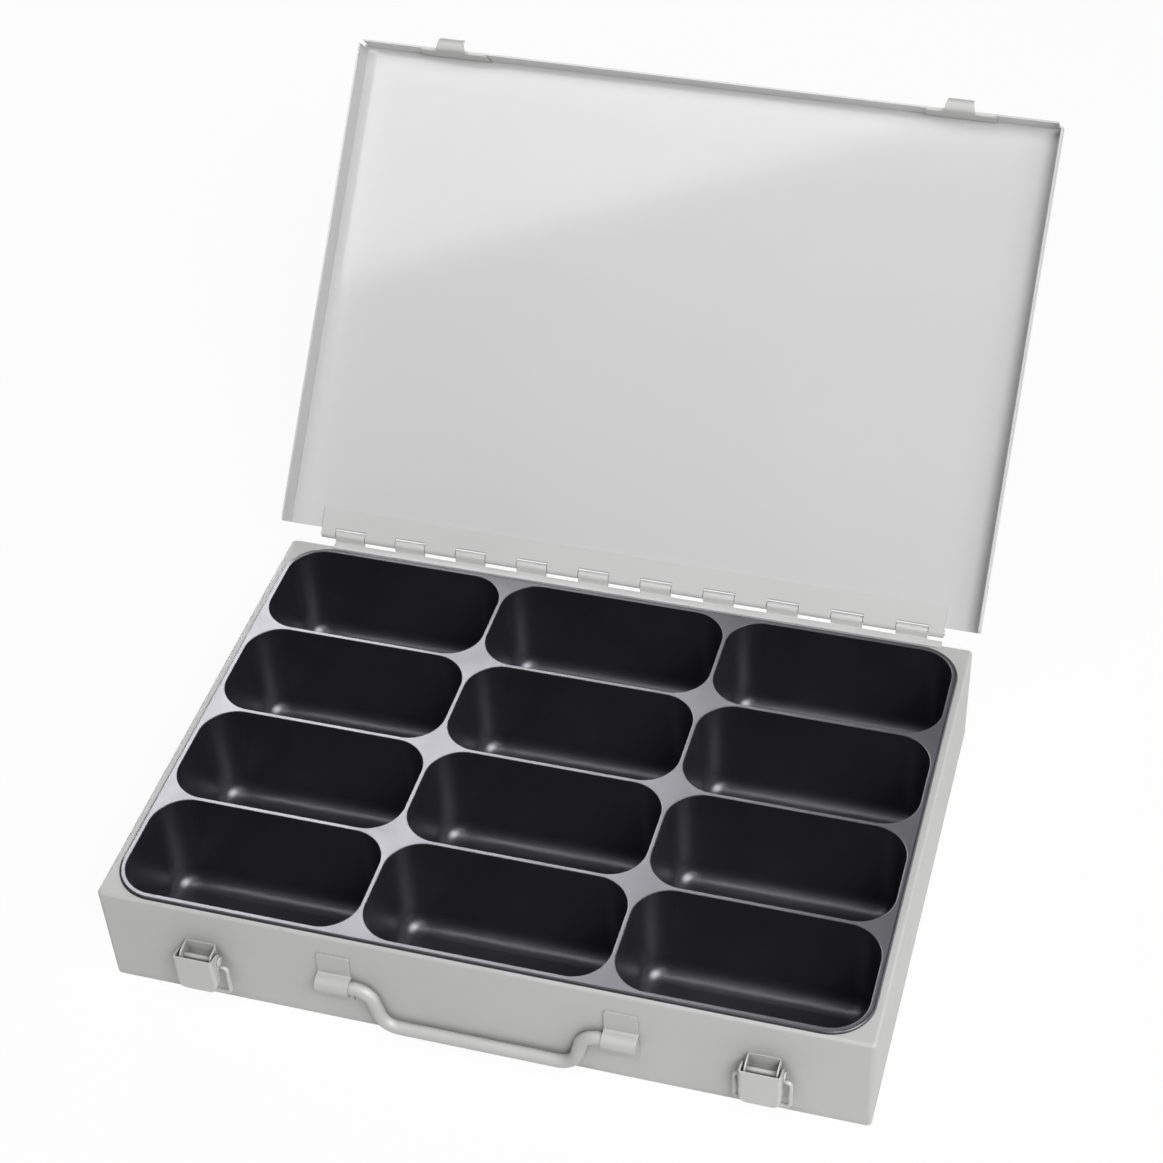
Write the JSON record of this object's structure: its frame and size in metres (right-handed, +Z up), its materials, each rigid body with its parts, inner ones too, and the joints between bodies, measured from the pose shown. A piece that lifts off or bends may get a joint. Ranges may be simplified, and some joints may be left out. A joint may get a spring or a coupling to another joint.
{
  "type": "compartment case",
  "caption": "Shallow sheet-steel carrying case with a hinged pan lid, a lift-out moulded compartment insert, draw latches and a drop handle, stored open",
  "frame": {"origin": "the middle of the underside of the case body", "axes": "+Z up, +X to the right seen from the latches, +Y towards the hinge"},
  "size_m": [0.3452, 0.4179, 0.2479],
  "materials": {
    "body_paint": "smooth light grey enamel, satin",
    "hinge_paint": "light grey enamel, satin",
    "latch_paint": "light grey enamel over pressed steel",
    "loop_paint": "light grey enamel over round wire",
    "handle_paint": "light grey enamel over round bar and strap",
    "pin_steel": "drawn steel wire",
    "insert_plastic": "black vacuum-formed sheet, soft gloss"
  },
  "bodies": {
    "case": {"case_body": "body_paint", "hinge_leaf_base": "hinge_paint", "hinge_pin": "pin_steel", "handle_strap_left": "handle_paint", "handle_strap_right": "handle_paint", "latch_bracket_left": "latch_paint", "latch_bracket_right": "latch_paint", "latch_pivot_left": "latch_paint", "latch_pivot_right": "latch_paint"},
    "lid": {"lid_pan": "body_paint", "hinge_leaf_lid": "hinge_paint", "catch_plate_left": "latch_paint", "catch_plate_right": "latch_paint"},
    "insert": {"insert_tray": "insert_plastic"},
    "handle": {"handle_wire": "handle_paint"},
    "lever_left": {"latch_lever_left": "latch_paint"},
    "lever_right": {"latch_lever_right": "latch_paint"},
    "loop_left": {"latch_loop_left": "loop_paint"},
    "loop_right": {"latch_loop_right": "loop_paint"}
  },
  "joints": [
    {"name": "lid_hinge", "type": "hinge", "parent": "case", "child": "lid", "pos_m": [0, 0.1218, 0.0587], "axis": [-1, 0, 0], "range_deg": [-134, 0]},
    {"name": "insert_lift", "type": "slide", "parent": "case", "child": "insert", "axis": [0, 0, 1], "range_m": [0, 0.06]},
    {"name": "handle_swing", "type": "hinge", "parent": "case", "child": "handle", "pos_m": [0, -0.1213, 0.0282], "axis": [-1, 0, 0], "range_deg": [0, 170]},
    {"name": "latch_lever_left_turn", "type": "hinge", "parent": "case", "child": "lever_left", "pos_m": [-0.1245, -0.1224, 0.0296], "axis": [1, 0, 0], "range_deg": [-74, 0]},
    {"name": "latch_loop_left_swing", "type": "hinge", "parent": "lever_left", "child": "loop_left", "pos_m": [-0.1245, -0.1222, 0.0256], "axis": [-1, 0, 0], "range_deg": [0, 180]},
    {"name": "latch_lever_right_turn", "type": "hinge", "parent": "case", "child": "lever_right", "pos_m": [0.1245, -0.1224, 0.0296], "axis": [1, 0, 0], "range_deg": [-74, 0]},
    {"name": "latch_loop_right_swing", "type": "hinge", "parent": "lever_right", "child": "loop_right", "pos_m": [0.1245, -0.1222, 0.0256], "axis": [-1, 0, 0], "range_deg": [0, 180]}
  ]
}
